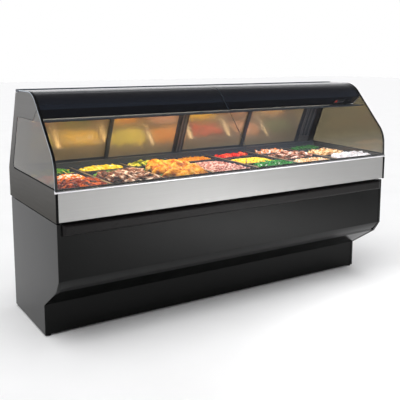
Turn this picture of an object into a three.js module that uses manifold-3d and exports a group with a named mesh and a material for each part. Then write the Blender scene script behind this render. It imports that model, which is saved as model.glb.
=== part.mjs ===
// A curved-glass deli display case on a pedestal base, in millimetres.
// X runs along the counter, the customer's side faces -Y, the server's side +Y, and Z is up.
// The origin is on the floor, below the middle of the case.

import * as THREE from 'three';
import { mergeVertices } from 'three/addons/utils/BufferGeometryUtils.js';
import Module from 'manifold-3d';

const wasm = await Module();
wasm.setup();

// ---------------------------------------------------------------- driving dimensions

const LENGTH = 2438;          // overall, eight feet
const DEPTH = 860;            // overall, bumper to rear face
const HEIGHT = 1400;          // floor to the top of the hinge rail
const GAP = 0.3;              // between pieces that touch

const HALF = LENGTH / 2;
const FRONT = -DEPTH / 2;
const REAR = DEPTH / 2;

// pedestal base
const BASE_HALF = 1212;
const BASE_FRONT = -408;
const BASE_REAR = 425;
const BASE_TOP = 717;
const BASE_BOTTOM = 10;
const BASE_WALL = 20;
const KNEE = { y: BASE_FRONT, z: 403 };
const SHIN = { y: -360, z: 329 };
const TOE = { y: -150, z: 190 };
const SHEET = 3;
const SHEET_INSET = 2;        // of the sheets behind the edges of the end panels
const SHELF = { top: 200, clear: 5 };
const PANEL_FLANGE = 60;
const STORE_RAIL = { flange: 28, high: 60, lip: 20 };
const FOOT = { radius: 18, inset: 22, chamfer: 2, pad: 5, stem: 8, neck: 7 };

// bumper under the steel fascia
const BUMPER = { low: 652, high: 714, radius: 14, railHalf: 1129, half: 1186 };

// display body
const CASE_BOTTOM = 727;
const END_WALL = 14;
const END_INNER = HALF - END_WALL;
const BODY_HALF = END_INNER - 0.5;
const FASCIA = { face: -421, sheet: 4, flange: 45, low: CASE_BOTTOM + 2 };
const TRIM = { face: -426, back: -407, low: 882, high: 898, nose: 7.5 };
const BODY = { front: -416.5, rear: 425, low: 734, high: 872, wall: 7 };
const PLINTH = { half: 1192, front: -372, rear: 418, wall: 8 };
const WELL_REAR = 300;
const HEATER = { margin: 5, thick: 5 };

// pans and the grid that carries them
const COLUMNS = 7;
const PAN = { width: 324, full: 527, third: 176, deep: 62, rim: 3, lip: 11, wall: 2, corner: 22, draw: 5 };
const PAN_FRONT = -405;
const CROSS_BAR = 10;
const GRID = { low: BODY.high + GAP, thick: 6, front: -416, rear: 312, rib: 17, ribTop: 885, play: 2 };
const DIVIDED_COLUMNS = [1, 5, 6, 7];
const DIVIDER_WALL = 14;

// sloping rear face: it leaves the vertical at KINK and leans in to the top
const KINK = new THREE.Vector2(REAR, 906);
const REAR_TOP = new THREE.Vector2(213, 1398);
const TRACK = { deep: 34, sill: 14, headLow: 345, headHigh: 366, groove: 11 };
const GROOVES = [[5, 15], [19, 29]];
const SILL = { back: GRID.rear + 1, noseHigh: 10, noseDeep: 18, rise: 6 };
const DOOR = { thick: 8, stile: 25, rail: 20, low: 6, high: 353, pane: 4, clear: 1 };
const POST_LEFT = -1128;
const POST_RIGHT = 1091;
const MULLION = [-45, -3];
const DOOR_LAP = [[-588, -561], [533, 561]];
const PULL = { width: 13, height: 90, deep: 5 };

// curved front glass: the corners of its outer line, from the hinge down to the trim
const GLASS = 6;
const GLASS_TOP = 1397;
const HINGE_EDGE = 150;
const UPPER_BEND = { y: -95, z: GLASS_TOP, radius: 170 };
const LOWER_BEND = { y: -412, z: 1050, radius: 180 };
const GLASS_FOOT = { y: -418, z: TRIM.high + 0.5 };
const CENTRE_SEAM = 3;
const END_REVEAL = 7;

// end window
const WINDOW = { low: 901, top: 1240, rearLow: [338, 931], cornerLow: [312, 913], rearTop: [205, 1240] };
const SEAL = { width: 7, inner: 11, outer: 0.4 };
const END_PANE = { inner: 7, outer: 1 };
const END_INSET = 4;          // of the end frame's rear edge and hinge step
const END_SHOULDER = 18;      // from the top of the rear slope down to the end frame's corner

// canopy over the display
const CANOPY = { top: 1383, sheet: 4, inset: 14, low: 1241.5, bevelFoot: -95, bevelHead: 1300, rearDepth: 6 };
const SHIELD = { low: 1234, high: 1239, front: -215, rear: 243 };
const LAMP = { radius: 13, half: 1120, y: 60, slot: 44, clear: 10 };
const RAIL = { front: 152, rear: 213, round: 6 };
const DISPLAY = { left: 990, right: 1090, low: 18, high: 66, thick: 5 };

// controls on the wide rear post, at distances up the slope, and the supply inlet in the base
const CONTROL_X = (POST_RIGHT + END_INNER) / 2;
const KNOB_UP = 250;
const KNOB_PROFILE = [[0, 0], [21, 0], [21, 3], [17, 5], [15, 17], [13, 18], [0, 18]];      // radius, height
const GRIP = { half: 2.5, low: 10, high: 21, reach: 14 };
const SWITCH_UP = 170;
const SWITCH_HALF = 10;
const ROCKER = [[-14, 3], [0, 0.6], [14, 3], [14, 8], [0, 6], [-14, 8]];                    // up, out
const GLAND_PROFILE = [[5, 0], [14, 0], [14, 3], [11, 4], [11, 8.5], [5, 8.5], [5, 0]];     // radius, height
const GLAND = { inset: 171, z: 110 };

// ---------------------------------------------------------------- finishes

const BLACK_GLOSS = { color: 0x0c0d0e, roughness: 0.16, metalness: 0.0 };
const BLACK_SATIN = { color: 0x17181a, roughness: 0.45, metalness: 0.0 };
const RUBBER = { color: 0x141414, roughness: 0.7, metalness: 0.0 };
const STEEL = { color: 0xc9c8c5, roughness: 0.32, metalness: 1.0 };
const DARK_STEEL = { color: 0x77746d, roughness: 0.3, metalness: 1.0 };
const BLUE_GREY = { color: 0x3b4450, roughness: 0.35, metalness: 0.6 };
const GLASS_CLEAR = { color: 0xdfe6e4, roughness: 0.03, metalness: 0.0, transparent: true, opacity: 0.15 };
const GLASS_TINTED = { color: 0x6d6a60, roughness: 0.05, metalness: 0.0, transparent: true, opacity: 0.7 };
const MIRROR = { color: 0xd8c8a8, roughness: 0.03, metalness: 1.0 };
const PAN_BLACK = { color: 0x10151f, roughness: 0.25, metalness: 0.0 };
const LAMP_WHITE = { color: 0xfff4dc, roughness: 0.4, metalness: 0.0 };

// ---------------------------------------------------------------- geometry helpers

const X_AXIS = new THREE.Vector3(1, 0, 0);
const Y_AXIS = new THREE.Vector3(0, 1, 0);
const Z_AXIS = new THREE.Vector3(0, 0, 1);
const point = (y, z) => new THREE.Vector2(y, z);

const group = new THREE.Group();

function addPart(name, geometry, finish) {
  const mesh = new THREE.Mesh(geometry, new THREE.MeshStandardMaterial(finish));
  mesh.name = name;
  group.add(mesh);
  return mesh;
}

function box([x0, x1], [y0, y1], [z0, z1]) {
  const geometry = new THREE.BoxGeometry(x1 - x0, y1 - y0, z1 - z0);
  geometry.translate((x0 + x1) / 2, (y0 + y1) / 2, (z0 + z1) / 2);
  return geometry;
}

// a (y, z) outline carried along X
function extrudeX(outline, x0, x1) {
  const geometry = new THREE.ExtrudeGeometry(new THREE.Shape(outline), { depth: x1 - x0, bevelEnabled: false });
  geometry.applyMatrix4(new THREE.Matrix4().makeBasis(Y_AXIS, Z_AXIS, X_AXIS));
  geometry.translate(x0, 0, 0);
  return geometry;
}

// an (x, y) outline carried up Z
function extrudeZ(outline, z0, z1) {
  const geometry = new THREE.ExtrudeGeometry(new THREE.Shape(outline), { depth: z1 - z0, bevelEnabled: false });
  geometry.translate(0, 0, z0);
  return geometry;
}

function toSolid(geometry) {
  const bare = geometry.clone();
  bare.deleteAttribute('normal');
  bare.deleteAttribute('uv');
  const merged = mergeVertices(bare, 1e-4);
  return new wasm.Manifold(new wasm.Mesh({
    numProp: 3,
    vertProperties: merged.attributes.position.array,
    triVerts: new Uint32Array(merged.index.array),
  }));
}

function toGeometry(solid) {
  const mesh = solid.getMesh();
  const geometry = new THREE.BufferGeometry();
  geometry.setAttribute('position', new THREE.BufferAttribute(mesh.vertProperties, 3));
  geometry.setIndex(new THREE.BufferAttribute(mesh.triVerts, 1));
  geometry.computeVertexNormals();
  return geometry;
}

function cut(geometry, ...tools) {
  return toGeometry(tools.reduce((solid, tool) => solid.subtract(toSolid(tool)), toSolid(geometry)));
}

// rounds the corners of an outline; each corner is [point, radius]
function rounded(corners, closed, step = Math.PI / 22) {
  const count = corners.length;
  return corners.flatMap(([corner, radius], i) => {
    const atEnd = !closed && (i === 0 || i === count - 1);
    if (radius === 0 || atEnd) return [corner];
    const back = corners[(i + count - 1) % count][0].clone().sub(corner).normalize();
    const ahead = corners[(i + 1) % count][0].clone().sub(corner).normalize();
    const half = Math.acos(back.dot(ahead)) / 2;
    const middle = back.clone().add(ahead).normalize().multiplyScalar(radius / Math.sin(half)).add(corner);
    const start = back.multiplyScalar(radius / Math.tan(half)).add(corner).sub(middle);
    const turn = Math.PI - 2 * half;
    const side = Math.sign(start.cross(corner.clone().sub(middle)));
    const steps = Math.max(2, Math.ceil(turn / step));
    return Array.from({ length: steps + 1 }, (_, k) =>
      start.clone().rotateAround(point(0, 0), (side * turn * k) / steps).add(middle));
  });
}

// the line that runs at a distance to the left of an open line
function offsetLine(line, distance) {
  const normals = line.slice(1).map((end, i) => {
    const along = end.clone().sub(line[i]).normalize();
    return point(-along.y, along.x);
  });
  return line.map((corner, i) => {
    const before = normals[Math.max(i - 1, 0)];
    const after = normals[Math.min(i, normals.length - 1)];
    const miter = before.clone().add(after).multiplyScalar(distance / (1 + before.dot(after)));
    return corner.clone().add(miter);
  });
}

const sheetAlong = (line, thickness) => [...line, ...offsetLine(line, thickness).reverse()];

// where a line crosses a height
function pointAtHeight(line, z) {
  const i = line.findIndex((p, k) => k > 0 && (line[k - 1].y - z) * (p.y - z) <= 0);
  const share = (z - line[i - 1].y) / (line[i].y - line[i - 1].y);
  return line[i - 1].clone().lerp(line[i], share);
}

// ---------------------------------------------------------------- the sloping rear plane

const UP_SLOPE = REAR_TOP.clone().sub(KINK).normalize();
const INTO_CASE = point(-UP_SLOPE.y, UP_SLOPE.x);

// a point at a distance up the slope and a depth below its outer face
const onSlope = (up, depth) => KINK.clone().addScaledVector(UP_SLOPE, up).addScaledVector(INTO_CASE, depth);

const SLOPE_FRAME = new THREE.Matrix4()
  .makeBasis(X_AXIS, new THREE.Vector3(0, UP_SLOPE.x, UP_SLOPE.y), new THREE.Vector3(0, INTO_CASE.x, INTO_CASE.y))
  .setPosition(0, KINK.x, KINK.y);

function slopeBar(x0, x1, low, high) {
  const outline = [onSlope(low, 0), onSlope(high, 0), onSlope(high, TRACK.deep), onSlope(low, TRACK.deep)];
  return extrudeX(outline, x0, x1);
}

// ---------------------------------------------------------------- pedestal base

const BASE_FACE = [
  point(BASE_FRONT, BASE_TOP), point(KNEE.y, KNEE.z), point(SHIN.y, SHIN.z),
  point(TOE.y, TOE.z), point(TOE.y, BASE_BOTTOM),
];

function buildBase() {
  const side = [...BASE_FACE, point(BASE_REAR, BASE_BOTTOM), point(BASE_REAR, BASE_TOP)];
  const inner = BASE_HALF - BASE_WALL;
  addPart('base_end_left', extrudeX(side, -BASE_HALF, -inner), BLACK_GLOSS);
  addPart('base_end_right', extrudeX(side, inner, BASE_HALF), BLACK_GLOSS);

  const reach = inner - GAP;
  const face = offsetLine(BASE_FACE, SHEET_INSET);
  face[0].y = BASE_TOP - GAP;
  face[face.length - 1].y = BASE_BOTTOM + SHEET_INSET;
  face.unshift(point(face[0].x + PANEL_FLANGE, face[0].y));
  addPart('base_front_panel', extrudeX(sheetAlong(face, SHEET), -reach, reach), BLACK_GLOSS);

  const shelfFront = TOE.y + SHEET_INSET + SHEET + SHEET;
  const shelfRear = BASE_REAR - SHELF.clear;
  const shelf = [
    point(shelfFront, SHELF.top), point(shelfRear, SHELF.top), point(shelfRear, BASE_BOTTOM + SHEET_INSET),
  ];
  addPart('base_shelf', extrudeX(sheetAlong(shelf, -SHEET), -reach, reach), BLACK_SATIN);

  const railRear = BASE_REAR - SHEET_INSET;
  const railFoot = BASE_TOP - STORE_RAIL.high;
  const rail = [
    point(railRear - STORE_RAIL.flange, BASE_TOP - GAP), point(railRear, BASE_TOP - GAP),
    point(railRear, railFoot), point(railRear - STORE_RAIL.lip, railFoot),
  ];
  addPart('base_rear_rail', extrudeX(sheetAlong(rail, -SHEET), -reach, reach), BLACK_SATIN);
}

function buildFeet() {
  const head = BASE_BOTTOM - GAP;
  const profile = [
    [0, 0], [FOOT.radius - FOOT.chamfer, 0], [FOOT.radius, FOOT.chamfer], [FOOT.radius, FOOT.pad],
    [FOOT.stem, FOOT.neck], [FOOT.stem, head], [0, head],
  ].map(([r, z]) => point(r, z));
  const places = [['front', TOE.y + FOOT.inset], ['rear', BASE_REAR - FOOT.inset]];
  for (const [side, sign] of [['left', -1], ['right', 1]]) {
    for (const [end, y] of places) {
      const foot = addPart(`foot_${end}_${side}`, new THREE.LatheGeometry(profile, 16), RUBBER);
      foot.rotation.x = Math.PI / 2;
      foot.position.set(sign * (BASE_HALF - FOOT.inset), y, 0);
    }
  }
}

function buildBumper() {
  const back = BASE_FRONT - GAP;
  const section = rounded([
    [point(back, BUMPER.low), 0], [point(back, BUMPER.high), 0],
    [point(FRONT, BUMPER.high), BUMPER.radius], [point(FRONT, BUMPER.low), BUMPER.radius],
  ], true);
  addPart('bumper_rail', extrudeX(section, -BUMPER.railHalf, BUMPER.railHalf), RUBBER);

  const depth = back - FRONT;
  for (const [side, sign] of [['left', -1], ['right', 1]]) {
    const inner = sign * (BUMPER.railHalf + GAP);
    const outer = sign * BUMPER.half;
    const plan = rounded([
      [point(inner, back), 0], [point(inner, FRONT), 0], [point(outer, FRONT), depth], [point(outer, back), 0],
    ], true);
    const low = Math.min(inner, outer);
    const high = Math.max(inner, outer);
    const bar = toSolid(extrudeX(section, low, high));
    const cap = bar.intersect(toSolid(extrudeZ(plan, BUMPER.low, BUMPER.high)));
    addPart(`bumper_cap_${side}`, toGeometry(cap), RUBBER);
  }
}

// ---------------------------------------------------------------- display body

// a tub for the pans, a service channel behind it that opens downwards, and a plinth that rests on the base
function buildBody() {
  const foot = BASE_TOP + GAP;
  const tub = box([-BODY_HALF, BODY_HALF], [BODY.front, BODY.rear], [BODY.low, BODY.high]);
  const plinth = box([-PLINTH.half, PLINTH.half], [PLINTH.front, PLINTH.rear], [foot, BODY.low]);
  const shell = toGeometry(toSolid(tub).add(toSolid(plinth)));
  const inside = PLINTH.half - PLINTH.wall;
  const well = box([-inside, inside], [BODY.front + BODY.wall, WELL_REAR], [BODY.low + BODY.wall, BODY.high + 1]);
  const channel = box(
    [-inside, inside], [WELL_REAR + BODY.wall, PLINTH.rear - PLINTH.wall], [foot - 1, BODY.high - BODY.wall],
  );
  const under = box([-inside, inside], [PLINTH.front + PLINTH.wall, WELL_REAR], [foot - 1, BODY.low]);
  addPart('case_body', cut(shell, well, channel, under), BLACK_SATIN);

  const wellFloor = BODY.low + BODY.wall + GAP;
  const heater = box(
    [-inside + HEATER.margin, inside - HEATER.margin],
    [BODY.front + BODY.wall + HEATER.margin, WELL_REAR - HEATER.margin],
    [wellFloor, wellFloor + HEATER.thick],
  );
  addPart('heater_plate', heater, STEEL);

  const fascia = [
    point(FASCIA.face + FASCIA.flange, FASCIA.low), point(FASCIA.face, FASCIA.low),
    point(FASCIA.face, TRIM.low - GAP),
  ];
  addPart('front_fascia', extrudeX(sheetAlong(fascia, -FASCIA.sheet), -BODY_HALF, BODY_HALF), STEEL);

  const trim = rounded([
    [point(TRIM.back, TRIM.low), 0], [point(TRIM.back, TRIM.high), 0],
    [point(TRIM.face, TRIM.high), TRIM.nose], [point(TRIM.face, TRIM.low), TRIM.nose],
  ], true);
  addPart('front_trim', extrudeX(trim, -HALF, HALF), STEEL);
}

// ---------------------------------------------------------------- front glass and ends

const GLASS_LINE = rounded([
  [point(HINGE_EDGE, GLASS_TOP), 0], [point(UPPER_BEND.y, UPPER_BEND.z), UPPER_BEND.radius],
  [point(LOWER_BEND.y, LOWER_BEND.z), LOWER_BEND.radius], [point(GLASS_FOOT.y, GLASS_FOOT.z), 0],
], false);

// the line of the canopy's front: along the glass, then back along the bevel
const CANOPY_LINE = offsetLine(GLASS_LINE, CANOPY.inset);
const BEVEL_HEAD = pointAtHeight(CANOPY_LINE, CANOPY.bevelHead);
const BEVEL_FOOT = point(CANOPY.bevelFoot, CANOPY.low);

function buildFrontGlass() {
  const pane = sheetAlong(GLASS_LINE, GLASS);
  addPart('front_glass_left', extrudeX(pane, -HALF, -CENTRE_SEAM / 2), GLASS_CLEAR);
  addPart('front_glass_right', extrudeX(pane, CENTRE_SEAM / 2, HALF), GLASS_CLEAR);
  const rail = rounded([
    [point(RAIL.front, CANOPY.top + GAP), 0], [point(RAIL.rear, CANOPY.top + GAP), 0],
    [point(RAIL.rear, HEIGHT), RAIL.round], [point(RAIL.front, HEIGHT), RAIL.round],
  ], true);
  addPart('hinge_rail', extrudeX(rail, -HALF, HALF), BLUE_GREY);
}

function buildEnds() {
  const edge = offsetLine(GLASS_LINE, END_REVEAL);
  const edgeTop = edge[0].y;
  const head = pointAtHeight(edge, CANOPY.bevelHead + END_REVEAL);
  const step = RAIL.front - END_INSET;
  const upper = edge.filter((p) => p.y > head.y && p.x < step);
  const lower = edge.filter((p) => p.y < head.y && p.y > WINDOW.low + SEAL.width);
  const rearLine = [point(...WINDOW.rearTop), point(...WINDOW.rearLow), point(...WINDOW.cornerLow)];
  const shelf = point(TRIM.back + 2 * GAP, TRIM.low - 2 * GAP);
  const shoulder = REAR_TOP.distanceTo(KINK) - END_SHOULDER;

  const frame = [
    point(FASCIA.face, CASE_BOTTOM), point(FASCIA.face, shelf.y), shelf, point(shelf.x, WINDOW.low),
    rearLine[2], rearLine[1], rearLine[0], BEVEL_FOOT, head,
    ...upper.reverse(), point(step, edgeTop), point(step, CANOPY.top),
    onSlope(shoulder, END_INSET / 2), onSlope(0, END_INSET), point(REAR - END_INSET, CASE_BOTTOM),
  ];

  // seal line and pane run inside the window: bottom, then up the rear
  const sealLine = [point(GLASS_FOOT.y + END_REVEAL + 1, WINDOW.low + GAP), ...[...rearLine].reverse()];
  const sealPath = [sealLine[0], ...offsetLine(sealLine.slice(1), GAP)];
  sealPath[sealPath.length - 1].y = WINDOW.top - 2;
  const seal = sheetAlong(sealPath, SEAL.width);
  const paneLine = offsetLine(sealPath, SEAL.width + GAP);
  const paneTop = WINDOW.top - 1;
  const pane = [
    ...paneLine, point(paneLine.at(-1).x, paneTop), point(BEVEL_FOOT.x - 1, paneTop),
    head.clone().add(point(0, -3)), ...lower,
  ];

  for (const [side, sign] of [['left', -1], ['right', 1]]) {
    const span = (inner, outer) => (sign < 0 ? [-outer, -inner] : [inner, outer]);
    addPart(`end_frame_${side}`, extrudeX(frame, ...span(END_INNER, HALF)), DARK_STEEL);
    addPart(`end_seal_${side}`, extrudeX(seal, ...span(HALF - SEAL.inner, HALF - SEAL.outer)), RUBBER);
    addPart(
      `end_glass_${side}`, extrudeX(pane, ...span(HALF - END_PANE.inner, HALF - END_PANE.outer)), GLASS_TINTED,
    );
  }
}

// ---------------------------------------------------------------- canopy

function buildCanopy() {
  const rearFoot = onSlope(TRACK.headHigh + 2, CANOPY.rearDepth);
  const slopeAtTop = (CANOPY.top - rearFoot.y) / UP_SLOPE.y;
  const rearHead = rearFoot.clone().addScaledVector(UP_SLOPE, slopeAtTop);
  const front = CANOPY_LINE.filter((p) => p.y > BEVEL_HEAD.y && p.x < HINGE_EDGE - 1);
  const line = [rearFoot, rearHead, ...front, BEVEL_HEAD, BEVEL_FOOT];
  addPart('canopy_housing', extrudeX(sheetAlong(line, CANOPY.sheet), -BODY_HALF, BODY_HALF), BLACK_GLOSS);

  const shield = box([-BODY_HALF, BODY_HALF], [SHIELD.front, SHIELD.rear], [SHIELD.low, SHIELD.high]);
  const slot = box(
    [-LAMP.half - LAMP.clear, LAMP.half + LAMP.clear], [LAMP.y - LAMP.slot / 2, LAMP.y + LAMP.slot / 2],
    [SHIELD.low - 1, SHIELD.high + 1],
  );
  addPart('light_shield', cut(shield, slot), BLUE_GREY);

  const tube = new THREE.CylinderGeometry(LAMP.radius, LAMP.radius, 2 * LAMP.half, 16);
  tube.rotateZ(Math.PI / 2);
  addPart('lamp_tube', tube, LAMP_WHITE).position.set(0, LAMP.y, SHIELD.high + LAMP.radius);

  const alongBevel = BEVEL_HEAD.clone().sub(BEVEL_FOOT).normalize();
  const offBevel = point(-alongBevel.y, alongBevel.x);
  const onBevel = (up, out) => BEVEL_FOOT.clone().addScaledVector(alongBevel, up).addScaledVector(offBevel, out);
  const { left, right, low, high, thick } = DISPLAY;
  const readout = [onBevel(low, GAP), onBevel(high, GAP), onBevel(high, thick), onBevel(low, thick)];
  addPart('temperature_display', extrudeX(readout, left, right), BLACK_GLOSS);
}

// ---------------------------------------------------------------- rear doors

// a track block on the slope, with one groove for each line of doors
function trackOutline(low, high, grooveAt) {
  const mouth = grooveAt > 0 ? high : low;
  const bottom = mouth - grooveAt;
  const teeth = GROOVES.flatMap(([near, far]) => [
    onSlope(mouth, near), onSlope(bottom, near), onSlope(bottom, far), onSlope(mouth, far),
  ]);
  return { teeth, mouth };
}

function buildTracks() {
  const top = trackOutline(TRACK.headLow, TRACK.headHigh, -TRACK.groove);
  const header = [
    onSlope(TRACK.headHigh, 0), onSlope(top.mouth, 0), ...top.teeth,
    onSlope(top.mouth, TRACK.deep), onSlope(TRACK.headHigh, TRACK.deep),
  ];
  addPart('door_header', extrudeX(header, -BODY_HALF, BODY_HALF), BLUE_GREY);

  const bottom = trackOutline(0, TRACK.sill, TRACK.groove);
  const nose = KINK.y + SILL.noseHigh;
  const sill = [
    point(SILL.back, BODY.high + GAP), point(REAR, BODY.high + GAP), KINK, onSlope(TRACK.sill, 0),
    ...bottom.teeth, onSlope(TRACK.sill, TRACK.deep), point(SILL.back + SILL.noseDeep, nose + SILL.rise),
    point(SILL.back, nose),
  ];
  addPart('door_sill', extrudeX(sill, -BODY_HALF, BODY_HALF), BLUE_GREY);

  const low = TRACK.sill + GAP;
  const high = TRACK.headLow - GAP;
  addPart('rear_post_left', slopeBar(-BODY_HALF, POST_LEFT, low, high), BLACK_SATIN);
  addPart('rear_mullion', slopeBar(MULLION[0], MULLION[1], low, high), BLACK_SATIN);
  addPart('rear_post_right', slopeBar(POST_RIGHT, BODY_HALF, low, high), BLACK_SATIN);
}

function buildDoors() {
  const spans = [
    [POST_LEFT + DOOR.clear, DOOR_LAP[0][1]], [DOOR_LAP[0][0], MULLION[0] - DOOR.clear],
    [MULLION[1] + DOOR.clear, DOOR_LAP[1][1]], [DOOR_LAP[1][0], POST_RIGHT - DOOR.clear],
  ];
  spans.forEach(([x0, x1], i) => {
    const depth = GROOVES[i % 2][0] + DOOR.clear;
    const opening = [[x0 + DOOR.stile, x1 - DOOR.stile], [DOOR.low + DOOR.rail, DOOR.high - DOOR.rail]];
    const slab = box([x0, x1], [DOOR.low, DOOR.high], [depth, depth + DOOR.thick]);
    const hole = box(...opening, [depth - 1, depth + DOOR.thick + 1]);
    const pullSide = i % 2 === 0 ? x0 + DOOR.stile / 2 : x1 - DOOR.stile / 2;
    const middle = (DOOR.low + DOOR.high) / 2;
    const pull = box(
      [pullSide - PULL.width / 2, pullSide + PULL.width / 2],
      [middle - PULL.height / 2, middle + PULL.height / 2], [depth - 1, depth + PULL.deep],
    );
    addPart(`door_frame_${i + 1}`, cut(slab, hole, pull).applyMatrix4(SLOPE_FRAME), BLUE_GREY);

    const [[left, right], [low, high]] = opening;
    const paneDepth = depth + (DOOR.thick - DOOR.pane) / 2;
    const pane = box([left + GAP, right - GAP], [low + GAP, high - GAP], [paneDepth, paneDepth + DOOR.pane]);
    addPart(`door_mirror_${i + 1}`, pane.applyMatrix4(SLOPE_FRAME), MIRROR);
  });
}

// ---------------------------------------------------------------- pans

const PITCH = (2 * BODY_HALF) / COLUMNS;
const columnCentre = (column) => (column - (COLUMNS + 1) / 2) * PITCH;
const PAN_ROWS = [
  { name: 'front', low: PAN_FRONT, deep: PAN.full },
  { name: 'rear', low: PAN_FRONT + PAN.full + CROSS_BAR, deep: PAN.third },
];

// a rectangular prism with round corners that narrows towards its foot
function taperedPrism(width, depth, corner, z0, z1, draw) {
  const w = width / 2;
  const d = depth / 2;
  const outline = rounded([
    [point(-w, -d), corner], [point(w, -d), corner], [point(w, d), corner], [point(-w, d), corner],
  ], true, Math.PI / 6);
  const geometry = extrudeZ(outline, z0, z1);
  const places = geometry.attributes.position;
  for (let i = 0; i < places.count; i += 1) {
    if (places.getZ(i) < (z0 + z1) / 2) {
      places.setXY(i, places.getX(i) * (1 - (2 * draw) / width), places.getY(i) * (1 - (2 * draw) / depth));
    }
  }
  return geometry;
}

function panGeometry(depth, divided) {
  const top = GRID.low + GRID.thick + GAP + PAN.rim;
  const low = top - PAN.deep;
  const rim = taperedPrism(PAN.width, depth, PAN.corner, top - PAN.rim, top, 0);
  const outerWidth = PAN.width - 2 * PAN.lip;
  const outerDepth = depth - 2 * PAN.lip;
  const body = taperedPrism(outerWidth, outerDepth, PAN.corner, low, top - PAN.rim / 2, PAN.draw);
  const hollowWidth = outerWidth - 2 * PAN.wall;
  const hollowDepth = outerDepth - 2 * PAN.wall;
  const floor = low + PAN.wall;
  const hollow = (deep) => taperedPrism(hollowWidth, deep, PAN.corner - PAN.wall, floor, top + 1, PAN.draw);
  const solid = toSolid(rim).add(toSolid(body));
  if (!divided) return toGeometry(solid.subtract(toSolid(hollow(hollowDepth))));
  const bay = (hollowDepth - DIVIDER_WALL) / 2;
  const shift = (bay + DIVIDER_WALL) / 2;
  const bays = [-shift, shift].map((y) => toSolid(hollow(bay).translate(0, y, 0)));
  return toGeometry(solid.subtract(bays[0]).subtract(bays[1]));
}

function buildPans() {
  const gridTop = GRID.low + GRID.thick;
  const plate = box([-BODY_HALF, BODY_HALF], [GRID.front, GRID.rear], [GRID.low, gridTop]);
  let grid = toSolid(plate);
  for (let column = 1; column <= COLUMNS; column += 1) {
    const x = columnCentre(column);
    if (column < COLUMNS) {
      const rib = x + PITCH / 2;
      grid = grid.add(toSolid(box(
        [rib - GRID.rib / 2, rib + GRID.rib / 2], [PAN_FRONT, GRID.rear], [GRID.low, GRID.ribTop],
      )));
    }
    for (const row of PAN_ROWS) {
      const bearing = PAN.lip - GRID.play;
      const reach = PAN.width / 2 - bearing;
      const seat = box(
        [x - reach, x + reach], [row.low + bearing, row.low + row.deep - bearing], [GRID.low - 1, gridTop + 1],
      );
      grid = grid.subtract(toSolid(seat));
      const divided = row.name === 'front' && DIVIDED_COLUMNS.includes(column);
      const pan = addPart(`pan_${row.name}_${column}`, panGeometry(row.deep, divided), PAN_BLACK);
      pan.position.set(x, row.low + row.deep / 2, 0);
    }
  }
  addPart('pan_grid', toGeometry(grid), STEEL);
}

// ---------------------------------------------------------------- controls and supply

const profileLine = (profile) => profile.map(([radius, height]) => point(radius, height));

function buildControls() {
  const dial = toSolid(new THREE.LatheGeometry(profileLine(KNOB_PROFILE), 24));
  const grip = toSolid(box([-GRIP.half, GRIP.half], [GRIP.low, GRIP.high], [-GRIP.reach, GRIP.reach]));
  const knob = addPart('thermostat_knob', toGeometry(dial.add(grip)), BLACK_SATIN);
  const seat = onSlope(KNOB_UP, -GAP);
  knob.quaternion.setFromUnitVectors(Y_AXIS, new THREE.Vector3(0, -INTO_CASE.x, -INTO_CASE.y));
  knob.position.set(CONTROL_X, seat.x, seat.y);

  const outline = ROCKER.map(([up, out]) => onSlope(SWITCH_UP + up, -out));
  const rocker = extrudeX(outline, CONTROL_X - SWITCH_HALF, CONTROL_X + SWITCH_HALF);
  addPart('power_switch', rocker, BLACK_GLOSS);

  const gland = addPart('cable_gland', new THREE.LatheGeometry(profileLine(GLAND_PROFILE), 16), RUBBER);
  gland.position.set(BASE_HALF - GLAND.inset, BASE_REAR - SHELF.clear + GAP, GLAND.z);
}

buildBase();
buildFeet();
buildBumper();
buildBody();
buildFrontGlass();
buildEnds();
buildCanopy();
buildTracks();
buildDoors();
buildPans();
buildControls();

export default group;
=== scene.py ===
"""Looks for the deli display case: refined surfaces, the food in the pans, a studio and a camera."""

import math
import random

import bmesh
import bpy
from mathutils import Euler, Matrix, Vector, noise


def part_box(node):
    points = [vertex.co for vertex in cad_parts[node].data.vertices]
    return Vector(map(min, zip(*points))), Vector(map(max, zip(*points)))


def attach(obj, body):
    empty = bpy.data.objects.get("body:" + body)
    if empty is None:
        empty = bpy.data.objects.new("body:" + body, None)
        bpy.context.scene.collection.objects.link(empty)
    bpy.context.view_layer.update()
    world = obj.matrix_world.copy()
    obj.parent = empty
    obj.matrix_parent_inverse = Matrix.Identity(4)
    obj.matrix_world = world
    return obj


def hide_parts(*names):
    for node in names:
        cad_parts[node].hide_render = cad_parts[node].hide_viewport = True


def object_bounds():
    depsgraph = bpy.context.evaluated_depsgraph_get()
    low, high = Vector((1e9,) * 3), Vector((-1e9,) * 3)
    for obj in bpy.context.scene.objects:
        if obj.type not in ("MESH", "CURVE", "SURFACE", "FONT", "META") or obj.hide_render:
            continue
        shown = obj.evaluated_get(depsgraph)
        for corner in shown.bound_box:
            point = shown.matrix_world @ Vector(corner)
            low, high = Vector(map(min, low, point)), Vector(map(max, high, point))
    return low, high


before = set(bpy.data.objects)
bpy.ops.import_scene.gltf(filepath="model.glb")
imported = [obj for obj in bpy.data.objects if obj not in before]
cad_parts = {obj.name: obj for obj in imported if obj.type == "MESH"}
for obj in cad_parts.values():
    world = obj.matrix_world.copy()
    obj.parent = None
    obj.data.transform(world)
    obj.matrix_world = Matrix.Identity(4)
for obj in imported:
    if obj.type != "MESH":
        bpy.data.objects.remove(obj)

CAD_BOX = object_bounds()
MM = 0.001
SEED = 20

bpy.context.scene.view_settings.view_transform = "Standard"

# ---------------------------------------------------------------- sizes, in metres

HALF_LENGTH = CAD_BOX[1].x
SIDES = {"left": -1, "right": 1}

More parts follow.
